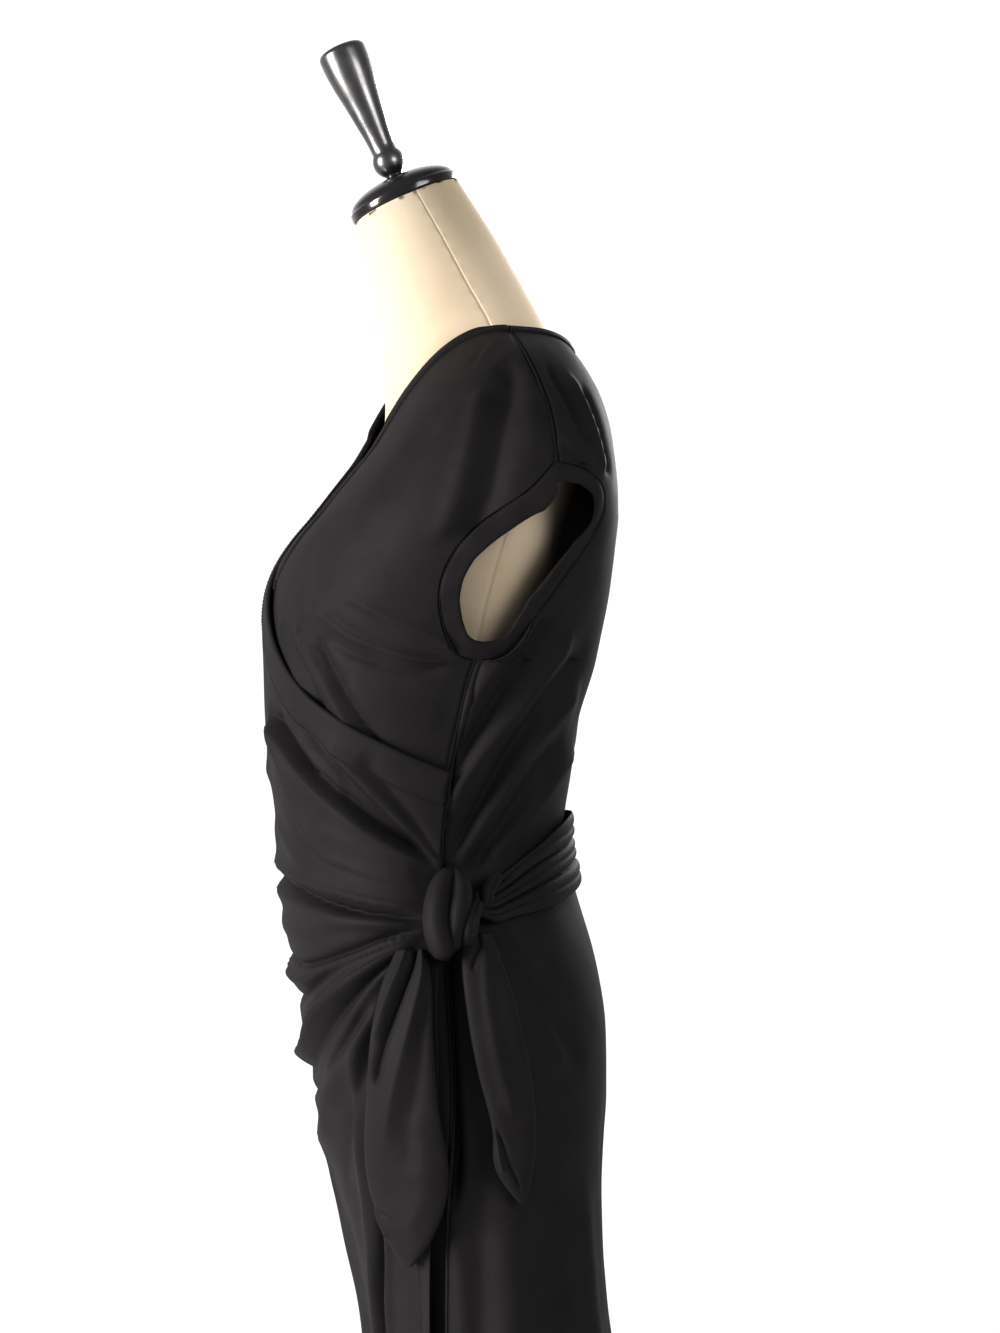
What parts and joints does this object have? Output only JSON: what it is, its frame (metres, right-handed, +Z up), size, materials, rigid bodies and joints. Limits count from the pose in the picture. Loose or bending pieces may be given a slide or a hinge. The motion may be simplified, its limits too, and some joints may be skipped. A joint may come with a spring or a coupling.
{
  "type": "wrap dress on a limbless dress form with a stand",
  "caption": "Draped surplice wrap dress with cap sleeves and a side-knotted waist tie, worn by a limbless covered dress form that stands on a round base.",
  "frame": {"origin": "on the floor, under the middle of the stand's round base, on the pole's axis", "axes": "+Z up along the pole, the wearer faces -Y and the wearer's left, with the knot, is +X"},
  "size_m": [0.4272, 0.35, 1.7054],
  "materials": {
    "dress_jersey": "matte crepe jersey, black",
    "form_cover": "fine stretch cover, cream",
    "black_lacquer": "gloss black lacquer on turned wood",
    "stand_metal": "satin black paint"
  },
  "bodies": {
    "root": {"right_front": "dress_jersey", "left_front": "dress_jersey", "back": "dress_jersey", "right_front_band": "dress_jersey", "left_front_band": "dress_jersey", "back_neck_band": "dress_jersey", "left_armhole_band": "dress_jersey", "right_armhole_band": "dress_jersey", "back_tie": "dress_jersey", "front_tail": "dress_jersey", "back_tail": "dress_jersey", "knot_loop": "dress_jersey", "knot_end": "dress_jersey", "form_torso": "form_cover", "neck_cap": "black_lacquer", "finial": "black_lacquer", "base_plate": "stand_metal", "base_collar": "stand_metal", "pole": "stand_metal"}
  },
  "joints": []
}
